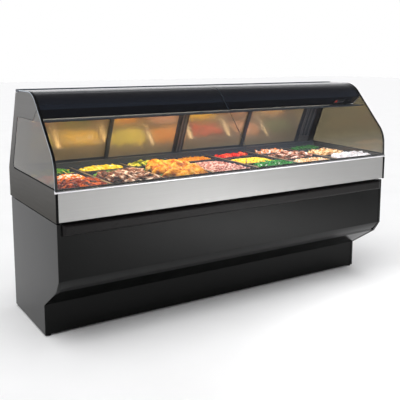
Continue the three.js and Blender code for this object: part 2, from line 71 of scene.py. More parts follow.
# the front glass's outer line in (y, z), from the hinge down to the trim, with the radius at each corner
GLASS_CORNERS = [
    ((0.150, 1.397), 0.0),
    ((-0.095, 1.397), 0.170),
    ((-0.412, 1.050), 0.180),
    ((-0.418, 0.8985), 0.0),
]
GLASS_THICKNESS = 6 * MM
CENTRE_SEAM = 3 * MM
BORDER = 15 * MM
GASKET_HEIGHT = 8 * MM

# the least gaps between an added piece and the surface that it lies on or stands beside
SKIN_GAP = 0.1 * MM
SIDE_GAP = 0.2 * MM
GLASS_GAP = 0.6 * MM
CAP_GAP = 0.05 * MM

CORNER_STRIP_WIDTH = 14 * MM
CORNER_STRIP_DEPTH = 2.5 * MM

PAN_COUNT = 7
DIVIDER = 14 * MM
PAN_LIP = 13 * MM
CAP_WIDTH = 17 * MM
CAP_TOP = 1.2 * MM

FOOD_CLEARANCE = 6 * MM
FOOD_EDGE_DEPTH = 16 * MM
BED_THICKNESS = 20 * MM
BED_RINGS = 7
BED_RIPPLE = 8 * MM
BED_RIPPLE_FREQUENCY = 30

# slanting faces in (y, z): the rear doors' plane, and the bevel under the canopy's front
SLOPE_FOOT, SLOPE_TOP = Vector((0.430, 0.906)), Vector((0.213, 1.398))
BEVEL_FOOT, BEVEL_HEAD = Vector((-0.095, 1.2415)), Vector((-0.1647, 1.300))
TRACK_DEPTH = 34 * MM
DISPLAY_FACE = 5 * MM

# the posts' ribs: where they start and end up the doors' slope, and how far they and the cover stand out
RIB_SPAN = (30 * MM, 344 * MM)
RIB_RISE = 3 * MM
COVER_RISE = 11 * MM

# the strip at each end of the canopy: how far behind its bevel it lies, and where it starts up the bevel
CANOPY_STRIP_DEPTHS = (-8 * MM, -1.5 * MM)
CANOPY_STRIP_FOOT = 2 * MM

FINE_RELIEF = 0.02 * MM
SAME_POINT = 1e-6
FLAT_WITHIN = math.radians(1)
SHARP_EDGE = math.radians(30)
ARC_STEP = math.radians(3)


# ---------------------------------------------------------------- material helpers

def tree_of(name):
    """A new material, with its nodes, its links and its shader."""
    material = bpy.data.materials.new(name)
    material.use_nodes = True
    nodes = material.node_tree.nodes
    return material, nodes, material.node_tree.links, nodes["Principled BSDF"]


def set_inputs(node, values):
    for key, value in values.items():
        node.inputs[key].default_value = value


def object_coordinates(nodes, links, stretch):
    """The object's own coordinates: every piece has its place in its mesh, so these are in the frame."""
    source = nodes.new("ShaderNodeTexCoord")
    mapping = nodes.new("ShaderNodeMapping")
    mapping.inputs["Scale"].default_value = stretch
    links.new(source.outputs["Object"], mapping.inputs["Vector"])
    return mapping.outputs["Vector"]


def noise_value(nodes, links, scale, detail=3.0, stretch=(1, 1, 1)):
    texture = nodes.new("ShaderNodeTexNoise")
    set_inputs(texture, {"Scale": scale, "Detail": detail})
    links.new(object_coordinates(nodes, links, stretch), texture.inputs["Vector"])
    return texture.outputs["Fac"]


def ranged(nodes, links, value, low, high):
    """A noise spread from low to high, over the part of its range that it mostly uses."""
    remap = nodes.new("ShaderNodeMapRange")
    set_inputs(remap, {"From Min": 0.3, "From Max": 0.7, "To Min": low, "To Max": high})
    links.new(value, remap.inputs["Value"])
    return remap.outputs["Result"]


def colour_ramp(nodes, links, value, colours, low=0.32, high=0.68):
    """A blend through the colours, spread over the part of a noise's range that it really uses."""
    ramp = nodes.new("ShaderNodeValToRGB")
    elements = ramp.color_ramp.elements
    while len(elements) < len(colours):
        elements.new(0.5)
    for i, colour in enumerate(colours):
        elements[i].position = low + (high - low) * i / (len(colours) - 1)
        elements[i].color = (*colour, 1)
    links.new(value, ramp.inputs["Fac"])
    return ramp.outputs["Color"]


def bumped(nodes, links, shader, value, distance):
    """A relief of the given height on a shader, from a noise."""
    bump = nodes.new("ShaderNodeBump")
    set_inputs(bump, {"Strength": 1.0, "Distance": distance})
    links.new(value, bump.inputs["Height"])
    links.new(bump.outputs["Normal"], shader.inputs["Normal"])


def surface(name, colours, rough, grain, stretch=(1, 1, 1), bump=0.0, **fixed):
    """A painted, moulded or metal surface: close colours, uneven gloss and any relief, from one noise."""
    material, nodes, links, shader = tree_of(name)
    value = noise_value(nodes, links, grain, stretch=stretch)
    links.new(colour_ramp(nodes, links, value, colours), shader.inputs["Base Color"])
    links.new(ranged(nodes, links, value, *rough), shader.inputs["Roughness"])
    if bump:
        bumped(nodes, links, shader, value, bump)
    set_inputs(shader, fixed)
    return material


def glass(name, tint, level, smear, ior=1.45):
    """Clear or tinted glass that lets lamps through, with faint wiping smears in its gloss."""
    material, nodes, links, shader = tree_of(name)
    set_inputs(shader, {
        "Transmission Weight": 1.0, "IOR": ior, "Base Color": (*tint, 1), "Specular IOR Level": level,
    })
    value = noise_value(nodes, links, 3.0, stretch=(1, 2, 2))
    links.new(ranged(nodes, links, value, 0.0, smear), shader.inputs["Roughness"])
    path = nodes.new("ShaderNodeLightPath")
    clear = nodes.new("ShaderNodeBsdfTransparent")
    clear.inputs["Color"].default_value = (*tint, 1)
    mix = nodes.new("ShaderNodeMixShader")
    links.new(path.outputs["Is Shadow Ray"], mix.inputs["Fac"])
    links.new(shader.outputs["BSDF"], mix.inputs[1])
    links.new(clear.outputs["BSDF"], mix.inputs[2])
    links.new(mix.outputs["Shader"], nodes["Material Output"].inputs["Surface"])
    return material


def graded(name, span, colours, rough, grain=220.0, stretch=(1, 1, 1), **fixed):
    """A surface whose colour changes with height between two levels, with uneven gloss and a fine relief."""
    material, nodes, links, shader = tree_of(name)
    parts = nodes.new("ShaderNodeSeparateXYZ")
    links.new(object_coordinates(nodes, links, (1, 1, 1)), parts.inputs[0])
    height = nodes.new("ShaderNodeMapRange")
    set_inputs(height, {"From Min": span[0], "From Max": span[1]})
    links.new(parts.outputs["Z"], height.inputs["Value"])
    blend = colour_ramp(nodes, links, height.outputs["Result"], colours, 0.0, 1.0)
    links.new(blend, shader.inputs["Base Color"])
    value = noise_value(nodes, links, grain, stretch=stretch)
    links.new(ranged(nodes, links, value, *rough), shader.inputs["Roughness"])
    bumped(nodes, links, shader, value, FINE_RELIEF)
    set_inputs(shader, fixed)
    return material


def glowing(name, colour, strength):
    """A surface that gives light, evenly."""
    material, nodes, links, shader = tree_of(name)
    value = noise_value(nodes, links, 2.0)
    links.new(colour_ramp(nodes, links, value, [colour, colour]), shader.inputs["Base Color"])
    set_inputs(shader, {"Emission Color": (*colour, 1), "Emission Strength": strength, "Roughness": 0.4})
    return material


# ---------------------------------------------------------------- the object's finishes

LONG_GRAIN = (0.012, 1, 1)
DEEP_GRAIN = (1, 0.02, 1)

GLOSS_BLACK = surface(
    "gloss_black_enamel", [(0.0010, 0.0012, 0.0011), (0.0020, 0.0023, 0.0021)], (0.12, 0.18), 6.0,
    bump=0.1 * MM, IOR=1.24,
)
SATIN_BLACK = surface(
    "satin_black_enamel", [(0.010, 0.010, 0.011), (0.016, 0.016, 0.017)], (0.36, 0.46), 60.0,
)
CANOPY_BLACK = graded(
    "canopy_black", (1.25, 1.37), [(0.010, 0.014, 0.024), (0.008, 0.011, 0.018), (0.0025, 0.0025, 0.003)],
    (0.12, 0.18), grain=40.0, IOR=1.36,
)
RUBBER = surface(
    "black_rubber", [(0.003, 0.0025, 0.0025), (0.006, 0.005, 0.005)], (0.26, 0.36), 180.0,
    bump=0.1 * MM, IOR=1.28,
)
SEAL_RUBBER = surface(
    "black_seal", [(0.002, 0.002, 0.002), (0.004, 0.004, 0.004)], (0.6, 0.7), 150.0, IOR=1.2,
)
FASCIA_STEEL = surface(
    "brushed_fascia_steel", [(0.355, 0.352, 0.345), (0.37, 0.367, 0.36)], (0.33, 0.36), 260.0,
    stretch=LONG_GRAIN, bump=0.004 * MM, Metallic=1.0,
)
TRIM_STEEL = surface(
    "polished_trim_steel", [(0.80, 0.79, 0.81), (0.86, 0.85, 0.87)], (0.24, 0.30), 260.0,
    stretch=LONG_GRAIN, Metallic=1.0,
)
# painted reflection: the end frames' steel is darker towards the bottom and lighter towards the top, by
# height, standing in for reflections in the steel
END_STEEL_PAINTED_REFLECTION = graded(
    "end_frame_steel_painted_reflection", (0.75, 1.30), [(0.060, 0.056, 0.048), (0.25, 0.245, 0.24)], (0.28, 0.34),
    stretch=DEEP_GRAIN, Metallic=1.0, **{"Specular Tint": (0.62, 0.62, 0.62, 1)},
)
GRID_STEEL = surface(
    "pan_grid_steel", [(0.010, 0.013, 0.022), (0.016, 0.020, 0.034)], (0.34, 0.42), 240.0,
    stretch=DEEP_GRAIN, IOR=1.25,
)
# painted reflection: the dividers' amber tint stands for the warm lamps' reflection in plain steel
DIVIDER_STEEL_PAINTED_WARM_REFLECTION = surface(
    "divider_steel_painted_warm_reflection", [(0.60, 0.47, 0.28), (0.70, 0.55, 0.34)], (0.26, 0.34), 240.0,
    stretch=DEEP_GRAIN, Metallic=1.0,
)
HEATER = surface(
    "heater_plate_metal", [(0.42, 0.42, 0.42), (0.52, 0.52, 0.52)], (0.35, 0.5), 50.0, Metallic=1.0,
)
BLUE_GREY = surface(
    "blue_grey_powder_coat", [(0.018, 0.027, 0.042), (0.028, 0.040, 0.058)], (0.36, 0.46), 420.0,
    bump=0.1 * MM,
)
DARK_ANODISED = surface(
    "dark_anodised_frame", [(0.042, 0.052, 0.068), (0.056, 0.068, 0.088)], (0.34, 0.42), 200.0,
    stretch=LONG_GRAIN,
)
POST_RIB = surface(
    "post_rib", [(0.10, 0.105, 0.12), (0.14, 0.145, 0.16)], (0.32, 0.40), 200.0, stretch=(1, 0.02, 0.02),
)
# partly painted reflection: a tan metal mirror with a diffuse part whose tan colour paints a blurred warm
# reflection over the whole door
MIRROR_PAINTED_REFLECTION = surface(
    "door_mirror_glass_painted_reflection", [(0.68, 0.58, 0.43), (0.76, 0.65, 0.48)], (0.18, 0.23), 6.0, Metallic=0.62,
)
END_GLASS = glass("tinted_end_glass", (0.17, 0.14, 0.08), 0.42, 0.02, ior=1.5)
FRONT_GLASS = glass("front_glass_clear", (0.985, 0.99, 0.99), 0.12, 0.0)
PRINTED_BORDER = surface(
    "printed_black_border", [(0.003, 0.003, 0.003), (0.005, 0.005, 0.005)], (0.10, 0.14), 20.0,
)
SEAM_EDGE = surface(
    "ground_seam_edge", [(0.070, 0.085, 0.105), (0.095, 0.115, 0.140)], (0.3, 0.4), 90.0, IOR=1.3,
)
# painted glint: the glass's outer end is an opaque light blue-grey that stands for the light caught in its
# polished edge
GLASS_EDGE_PAINTED_GLINT = surface("glass_edge_painted_glint", [(0.36, 0.41, 0.47), (0.50, 0.55, 0.61)], (0.18, 0.26), 90.0)
PAN = surface(
    "pan_black_moulding", [(0.001, 0.004, 0.016), (0.002, 0.009, 0.032)], (0.26, 0.34), 30.0, IOR=1.16,
)
LAMP = glowing("lamp_tube_glow", (1.0, 0.93, 0.80), 5.0)
DISPLAY = surface("display_gloss", [(0.005, 0.005, 0.006), (0.009, 0.009, 0.010)], (0.08, 0.14), 30.0)
BEZEL = surface("display_bezel", [(0.080, 0.082, 0.092), (0.11, 0.113, 0.125)], (0.3, 0.4), 90.0)
DIGIT = glowing("display_digit_red", (0.8, 0.08, 0.05), 0.5)
LEGEND = surface("display_legend_grey", [(0.30, 0.31, 0.33), (0.40, 0.41, 0.43)], (0.4, 0.5), 90.0)
KNOB = surface(
    "knob_moulding", [(0.012, 0.012, 0.012), (0.020, 0.020, 0.020)], (0.4, 0.5), 200.0, bump=0.1 * MM,
)


# ---------------------------------------------------------------- mesh helpers

def new_piece(name, mesh, materials, body, slot, smooth_angle=35.0, stands_for=()):
    """Link a mesh as a piece that rides on a body, smooth up to an angle, with flat faces kept flat."""
    for material in materials:
        mesh.materials.append(material)
    mesh.shade_smooth()
    mesh.set_sharp_from_angle(angle=math.radians(smooth_angle))
    piece = bpy.data.objects.new(name, mesh)
    bpy.context.scene.collection.objects.link(piece)
    weighted = piece.modifiers.new("flat_faces", "WEIGHTED_NORMAL")
    weighted.keep_sharp = True
    weighted.weight = 100
    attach(piece, body)
    if stands_for:
        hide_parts(*stands_for)
    return piece


def bevel_edges(work, width):
    edges = [e for e in work.edges if e.is_manifold and e.calc_face_angle() > SHARP_EDGE]
    bmesh.ops.bevel(
        work, geom=edges, offset=width, offset_type="OFFSET", segments=2, profile=0.5,
        affect="EDGES", clamp_overlap=True,
    )


def refined(node, material, bevel, body, slot, smooth_angle=24.0):
    """A copy of a CAD node with its flat faces joined and its edges rounded over."""
    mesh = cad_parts[node].data.copy()
    mesh.materials.clear()
    work = bmesh.new()
    work.from_mesh(mesh)
    bmesh.ops.remove_doubles(work, verts=work.verts, dist=SAME_POINT)
    bmesh.ops.dissolve_limit(work, angle_limit=FLAT_WITHIN, verts=work.verts, edges=work.edges)
    if bevel:
        bevel_edges(work, bevel)
    for face in work.faces:
        face.material_index = 0
    work.to_mesh(mesh)
    work.free()
    return new_piece(f"{node}_surface", mesh, [material], body, slot, smooth_angle, [node])


def block(name, low, high, material, body, slot, bevel=0.4 * MM, foot=None, head=None):
    """A small block with rounded edges between two corners in (x, y, z).

    With a foot and a head, the corners are (x, out, up) from the foot of the (y, z) line between them,
    where out is square to the line, towards the customer.
    """
    work = bmesh.new()
    bmesh.ops.create_cube(work, size=1)
    bmesh.ops.scale(work, vec=Vector(high) - Vector(low), verts=work.verts)
    bevel_edges(work, bevel)
    bmesh.ops.translate(work, vec=(Vector(high) + Vector(low)) / 2, verts=work.verts)
    if foot:
        along = (head - foot).normalized()
        place = Matrix((
            (1, 0, 0, 0), (0, -along.y, along.x, foot.x), (0, along.x, along.y, foot.y), (0, 0, 0, 1),
        ))
        bmesh.ops.transform(work, matrix=place, verts=work.verts)
        bmesh.ops.recalc_face_normals(work, faces=work.faces)
    mesh = bpy.data.meshes.new(name)
    work.to_mesh(mesh)
    work.free()
    return new_piece(name, mesh, [material], body, slot)


def rounded_line(corners):
    """Points and outward normals along a line of (y, z) corners whose bends are arcs of the given radii."""
    points = [Vector(p) for p, _ in corners]
    made = []
    for i, (_, radius) in enumerate(corners):
        before = (points[i] - points[i - 1]).normalized() if i else (points[1] - points[0]).normalized()
        after = (points[i + 1] - points[i]).normalized() if i + 1 < len(points) else before
        turn = math.atan2(before.x * after.y - before.y * after.x, before.dot(after))
        sign = math.copysign(1, turn)
        side = Vector((before.y, -before.x))
        if not radius:
            made.append((points[i], Vector((before.y, -before.x))))
            continue
        reach = radius * math.tan(abs(turn) / 2)
        start = points[i] - before * reach
        centre = start - side * radius * sign
        count = max(2, math.ceil(abs(turn) / ARC_STEP))
        for k in range(count + 1):
            angle = turn * k / count
            cos, sin = math.cos(angle), math.sin(angle)
            normal = Vector((side.x * cos - side.y * sin, side.x * sin + side.y * cos))
            made.append((centre + normal * radius * sign, normal))
    return made


# ---------------------------------------------------------------- CAD pieces with softened edges

def refine_all():
    """Every CAD node but the front panes. The plan has a material, a bevel in mm, a slot and its nodes."""
    plan = [
        (GLOSS_BLACK, 1.0, "base_black", ["base_end_left", "base_end_right", "base_front_panel"]),
        (SATIN_BLACK, 1.0, "satin_black", ["base_shelf", "base_rear_rail", "case_body"]),
        (DARK_ANODISED, 1.0, "satin_black", ["rear_post_left", "rear_post_right", "rear_mullion"]),
        (RUBBER, 0.6, "rubber_black", [
            "foot_front_left", "foot_front_right", "foot_rear_left", "foot_rear_right",
            "bumper_rail", "bumper_cap_left", "bumper_cap_right", "cable_gland",
        ]),
        (SEAL_RUBBER, 0.3, "rubber_black", ["end_seal_left", "end_seal_right"]),
        (FASCIA_STEEL, 0.3, "fascia_steel", ["front_fascia"]),
        (TRIM_STEEL, 0.3, "fascia_steel", ["front_trim"]),
        (END_STEEL_PAINTED_REFLECTION, 0.8, "end_steel", ["end_frame_left", "end_frame_right"]),
        (END_GLASS, 0.5, "end_glass", ["end_glass_left", "end_glass_right"]),
        (CANOPY_BLACK, 0.8, "canopy_black", ["canopy_housing"]),
        (BLUE_GREY, 0.8, "blue_grey", ["light_shield", "hinge_rail", "door_sill"]),
        (DARK_ANODISED, 0.8, "blue_grey", ["door_header"]),
        (GRID_STEEL, 0.8, "grid_steel", ["pan_grid"]),
        (HEATER, 0.5, "heater_metal", ["heater_plate"]),
        (LAMP, 0.0, "lamp_white", ["lamp_tube"]),
        (DISPLAY, 0.8, "display_black", ["temperature_display"]),
    ]
    for material, bevel, slot, names in plan:
        for name in names:
            refined(name, material, bevel * MM, "case", slot)
    for i in range(1, 5):
        refined(f"door_frame_{i}", DARK_ANODISED, 0.8 * MM, f"door_{i}", "blue_grey")
        refined(f"door_mirror_{i}", MIRROR_PAINTED_REFLECTION, 0.3 * MM, f"door_{i}", "door_mirror")
    for row in ("front", "rear"):
        for i in range(1, PAN_COUNT + 1):
            refined(f"pan_{row}_{i}", PAN, 0.8 * MM, f"pan_{row}_{i}", "pan_black")
    refined("thermostat_knob", KNOB, 0.6 * MM, "thermostat_knob", "knob_black")
    refined("power_switch", DISPLAY, 0.6 * MM, "power_switch", "display_black")


def build_front_glass(side, sign):
    """One pane bent from a sheet: a polished outer end in a light colour that paints its glint, a dark seam,
    a black border and black long edges.
    """
    line = rounded_line(GLASS_CORNERS)
    stations = [CENTRE_SEAM / 2, HALF_LENGTH - BORDER, HALF_LENGTH]
    outer = [[Vector((sign * x, p.x, p.y)) for p, _ in line] for x in stations]
    inner = [[Vector((sign * x, *(p - n * GLASS_THICKNESS))) for p, n in line] for x in stations]
    work = bmesh.new()
    skins = [[[work.verts.new(v) for v in row] for row in skin] for skin in (outer, inner)]
    last = len(line) - 1
    clear, black, polished, dark = range(4)
    for k in range(len(stations) - 1):
        for skin in skins:
            for i in range(last):
                face = work.faces.new([skin[k][i], skin[k][i + 1], skin[k + 1][i + 1], skin[k + 1][i]])
                face.material_index = black if k else clear
        for i in (0, last):
            face = work.faces.new([skins[0][k][i], skins[0][k + 1][i], skins[1][k + 1][i], skins[1][k][i]])
            face.material_index = black
    # the outer end's light colour is a painted glint
    for k in (0, len(stations) - 1):
        for i in range(last):
            face = work.faces.new([skins[0][k][i], skins[0][k][i + 1], skins[1][k][i + 1], skins[1][k][i]])
            face.material_index = polished if k else dark
    bmesh.ops.recalc_face_normals(work, faces=work.faces)
    mesh = bpy.data.meshes.new(f"front_glass_{side}_pane")
    work.to_mesh(mesh)
    work.free()
    node = f"front_glass_{side}"
    materials = [FRONT_GLASS, PRINTED_BORDER, GLASS_EDGE_PAINTED_GLINT, SEAM_EDGE]
    new_piece(f"{node}_pane", mesh, materials, node, "front_glass", stands_for=[node])


def build_end_trim(side, sign):
    """Black strips: one at the corner between the fascia and the end frame, one under the canopy's end."""
    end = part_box(f"end_frame_{side}")
    glass_face = abs(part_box(f"end_glass_{side}")[1 if sign > 0 else 0].x)
    low_x, high_x = sorted((sign * (HALF_LENGTH - CORNER_STRIP_WIDTH), sign * HALF_LENGTH))
    block(
        f"corner_strip_{side}", (low_x, end[0].y - CORNER_STRIP_DEPTH, end[0].z),
        (high_x, end[0].y - SIDE_GAP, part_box("front_fascia")[1].z), SEAL_RUBBER, "case", "rubber_black",
    )
    low_x, high_x = sorted((sign * (glass_face + SKIN_GAP), sign * (HALF_LENGTH - SIDE_GAP)))
    block(
        f"canopy_end_strip_{side}", (low_x, CANOPY_STRIP_DEPTHS[0], CANOPY_STRIP_FOOT),
        (high_x, CANOPY_STRIP_DEPTHS[1], (BEVEL_HEAD - BEVEL_FOOT).length),
        SEAL_RUBBER, "case", "rubber_black", bevel=0.2 * MM, foot=BEVEL_FOOT, head=BEVEL_HEAD,
    )


def build_glass_gasket():
    """A black gasket on the trim, along the inside of the front glass's foot."""
    trim_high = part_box("front_trim")[1]
    grid_low, grid_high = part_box("pan_grid")
    glass_face = GLASS_CORNERS[-1][0][0] + GLASS_THICKNESS
    block(
        "glass_gasket", (grid_low.x, glass_face + GLASS_GAP, trim_high.z + SKIN_GAP),
        (grid_high.x, trim_high.y - SIDE_GAP, trim_high.z + GASKET_HEIGHT),
        SEAL_RUBBER, "case", "rubber_black",
    )


def build_post_ribs():
    """Raised ribs down the customer's side of the rear posts, and a foot cover on the wide one."""
    # each rib's left and right edge, in mm
    ribs = {
        "left": [(-1200, -1186), (-1160, -1138)],
        "middle": [(-42, -32), (-18, -6)],
        "right": [(1095, 1103), (1112, 1118), (1140, 1149), (1176, 1188)],
    }
    for post, spans in ribs.items():
        for i, (left, right) in enumerate(spans, start=1):
            block(
                f"post_rib_{post}_{i}", (left * MM, TRACK_DEPTH + SKIN_GAP, RIB_SPAN[0]),
                (right * MM, TRACK_DEPTH + RIB_RISE, RIB_SPAN[1]), POST_RIB, "case", "satin_black",
                foot=SLOPE_FOOT, head=SLOPE_TOP,
            )
    left, right, foot, top = (edge * MM for edge in (1093, 1190, 20, 82))
    block(
        "post_foot_cover", (left, TRACK_DEPTH + RIB_RISE + SIDE_GAP, foot),
        (right, TRACK_DEPTH + COVER_RISE, top), BEZEL, "case", "satin_black", bevel=1.5 * MM,
        foot=SLOPE_FOOT, head=SLOPE_TOP,
    )


def build_divider_caps():
    """Bright caps on the ribs between the pan columns, in steel whose amber tint is a painted warm
    reflection.
    """
    grid_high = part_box("pan_grid")[1]
    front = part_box("pan_front_1")[0].y
    for i in range(1, PAN_COUNT):
        middle = (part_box(f"pan_front_{i}")[1].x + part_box(f"pan_front_{i + 1}")[0].x) / 2
        block(
            f"divider_cap_{i}", (middle - CAP_WIDTH / 2, front, grid_high.z + CAP_GAP),
            (middle + CAP_WIDTH / 2, grid_high.y, grid_high.z + CAP_TOP), DIVIDER_STEEL_PAINTED_WARM_REFLECTION, "case", "grid_steel",
        )


def build_display_marks():
    """The temperature display's bezel, lit digits and plain grey keys, and a sensor cap beside it."""
    low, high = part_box("temperature_display")
    # each mark's name, left and right edge, foot and top in mm, material, and how far it stands out
    marks = [("bezel", 2, 98, 20, 64, BEZEL, 0.6)]
    marks += [(f"digit_{i}", 10 + 9 * i, 16 + 9 * i, 36, 56, DIGIT, 1.2) for i in range(2)]
    marks += [(f"key_{i}", 36 + 14 * i, 46 + 14 * i, 32, 48, LEGEND, 1.2) for i in range(4)]
    for name, left, right, foot, top, material, rise in marks:
        block(
            f"display_{name}", (low.x + left * MM, DISPLAY_FACE, foot * MM),
            (low.x + right * MM, DISPLAY_FACE + rise * MM, top * MM),
            material, "case", "display_black", bevel=0.2 * MM, foot=BEVEL_FOOT, head=BEVEL_HEAD,
        )
    block(
        "display_sensor_cap", (high.x + 14 * MM, 0.3 * MM, 14 * MM), (high.x + 40 * MM, 16 * MM, 62 * MM),
        DISPLAY, "case", "display_black", bevel=3 * MM, foot=BEVEL_FOOT, head=BEVEL_HEAD,
    )


# ---------------------------------------------------------------- food

def food_material(name, colours, grain, rough=(0.28, 0.5)):
    """A moist food: mottled colours and gloss from one noise, and a finer relief."""
    material, nodes, links, shader = tree_of(name)
    value = noise_value(nodes, links, grain, detail=4.0)
    links.new(colour_ramp(nodes, links, value, colours, 0.36, 0.64), shader.inputs["Base Color"])
    links.new(ranged(nodes, links, value, *rough), shader.inputs["Roughness"])
    fine = noise_value(nodes, links, grain * 5, detail=2.0)
    bumped(nodes, links, shader, fine, 1.2 * MM)
    set_inputs(shader, {"IOR": 1.2})
    return material


# each food's dark, middle and light colour, the scale of its mottling, and its roughness where it is glossy
FOOD_COLOURS = {
    # painted shade: the two dark beds are the food under the items, darkened to stand for the shade in the
    # gaps between them
    "bed_brown": ([(0.010, 0.003, 0.001), (0.04, 0.012, 0.004), (0.12, 0.035, 0.008)], 40),
    "bed_green": ([(0.003, 0.012, 0.003), (0.012, 0.05, 0.008), (0.05, 0.14, 0.02)], 40),
    "broccoli": ([(0.008, 0.06, 0.006), (0.05, 0.24, 0.02), (0.22, 0.48, 0.05)], 70),
    "squash": ([(0.30, 0.42, 0.02), (0.80, 0.72, 0.04), (0.98, 0.90, 0.30)], 38),
    "yellow": ([(0.80, 0.42, 0.004), (0.98, 0.70, 0.01), (1.0, 0.86, 0.15)], 50),
    "orange": ([(0.62, 0.06, 0.002), (0.92, 0.20, 0.006), (1.0, 0.40, 0.03)], 50),
    "white": ([(0.70, 0.60, 0.50), (0.92, 0.90, 0.88), (1.0, 1.0, 1.0)], 50),
    "chilli": ([(0.02, 0.001, 0.001), (0.30, 0.018, 0.002), (0.92, 0.17, 0.004)], 34),
    "golden": ([(0.50, 0.11, 0.004), (0.88, 0.33, 0.012), (1.0, 0.60, 0.10)], 26),
    "gravy": ([(0.03, 0.006, 0.002), (0.09, 0.02, 0.006), (0.26, 0.06, 0.02)], 40, (0.15, 0.3)),
    "sliced": ([(0.04, 0.008, 0.002), (0.28, 0.08, 0.025), (1.0, 0.86, 0.74)], 30),
    "ham": ([(0.24, 0.04, 0.03), (0.60, 0.24, 0.19), (1.0, 0.72, 0.66)], 46),
    "carrot": ([(0.80, 0.20, 0.004), (0.98, 0.36, 0.006), (1.0, 0.60, 0.04)], 60),
    "tomato": ([(0.50, 0.004, 0.004), (0.90, 0.015, 0.008), (1.0, 0.16, 0.05)], 28, (0.12, 0.25)),
    "bean": ([(0.003, 0.08, 0.010), (0.008, 0.26, 0.025), (0.03, 0.48, 0.06)], 55),
    "dark_bean": ([(0.002, 0.03, 0.006), (0.008, 0.11, 0.012), (0.03, 0.24, 0.03)], 55),
    "shrimp": ([(0.80, 0.16, 0.02), (0.98, 0.48, 0.22), (1.0, 0.92, 0.86)], 50),
    "browned": ([(0.11, 0.022, 0.006), (0.40, 0.12, 0.045), (0.95, 0.78, 0.66)], 38),
    "nugget": ([(0.50, 0.17, 0.03), (0.90, 0.50, 0.18), (1.0, 0.84, 0.58)], 44),
    "dumpling": ([(0.74, 0.62, 0.60), (0.90, 0.87, 0.90), (1.0, 1.0, 1.0)], 30),
    "herb": ([(0.004, 0.05, 0.004), (0.012, 0.16, 0.01), (0.04, 0.34, 0.03)], 120),
}
FOOD = {name: food_material(f"food_{name}", *look) for name, look in FOOD_COLOURS.items()}


def lump_shape(level, roughness, scale, squash=(1, 1, 1), bend=0.0, frequency=1.6):
    """A closed bumpy lump about a unit across, squashed and bent about Y."""
    work = bmesh.new()
    bmesh.ops.create_icosphere(work, subdivisions=level, radius=0.5 * scale)
    points = []
    for vertex in work.verts:
        at = vertex.co * (1 + roughness * noise.noise(vertex.co * frequency * 4))
        at = Vector((at.x * squash[0], at.y * squash[1], at.z * squash[2]))
        at.z += bend * (0.25 - at.x * at.x)
        points.append(at)
    faces = [[v.index for v in face.verts] for face in work.faces]
    work.free()
    return points, faces


def tube_shape(path, radii, sides):
    """A closed tube through points in the XY plane, with a radius at each."""
    points, faces = [], []
    count = len(path)
    for i, (at, radius) in enumerate(zip(path, radii)):
        along = (path[min(i + 1, count - 1)] - path[max(i - 1, 0)]).normalized()
        across = Vector((-along.y, along.x, 0))
        for k in range(sides):
            angle = 2 * math.pi * k / sides
            ring = across * math.cos(angle) + Vector((0, 0, math.sin(angle)))
            points.append(at + ring * radius)
    for i in range(count - 1):
        for k in range(sides):
            a, b = i * sides + k, i * sides + (k + 1) % sides
            faces.append([a, b, b + sides, a + sides])
    faces.append(list(range(sides))[::-1])
    faces.append([(count - 1) * sides + k for k in range(sides)])
    return points, faces


def arc_path(radius, angle, count):
    """Points on an arc in the XY plane, with its middle at the origin and its centre on the Y axis."""
    turns = [angle * (i / (count - 1) - 0.5) for i in range(count)]
    return [Vector((radius * math.sin(t), radius * (1 - math.cos(t)), 0)) for t in turns]


def food_shapes():
    """One template of each shape, about a unit long, that is scaled and turned for every item."""
    bean_radii = [0.03, 0.07, 0.085, 0.085, 0.07, 0.03]
    curl_radii = [0.05, 0.12, 0.17, 0.18, 0.15, 0.10, 0.05]
    return {
        "lump": lump_shape(2, 0.35, 1.0, (1, 0.85, 0.75)),
        "grain": lump_shape(1, 0.3, 1.0, (1, 0.8, 0.7)),
        "crag": lump_shape(3, 0.8, 1.0, (1, 0.9, 0.8), frequency=2.6),
        "joint": lump_shape(3, 0.55, 1.0, (1.25, 0.62, 0.6), bend=0.5, frequency=1.3),
        "slice": lump_shape(3, 0.15, 1.0, (1.0, 1.25, 0.14), bend=0.35),
        "flake": lump_shape(1, 0.4, 1.0, (1.0, 0.6, 0.2), bend=0.4),
        "dome": lump_shape(3, 0.06, 1.0, (1, 1, 0.85)),
        "bean": tube_shape(arc_path(0.9, 1.1, 6), bean_radii, 6),
        "shred": tube_shape(arc_path(0.6, 1.4, 5), [0.03, 0.045, 0.045, 0.045, 0.03], 4),
        "curl": tube_shape(arc_path(0.32, 4.2, 7), curl_radii, 6),
        "dice": lump_shape(1, 0.12, 1.1, (1, 1, 0.9)),
    }


SHAPES = food_shapes()


def item(shape, food, size, spacing, tilt, zone=(-1, 1)):
    """Items of one kind: size and spacing in mm, greatest tilt in radians, zone along the bay."""
    return shape, food, size * MM, spacing * MM, tilt, zone


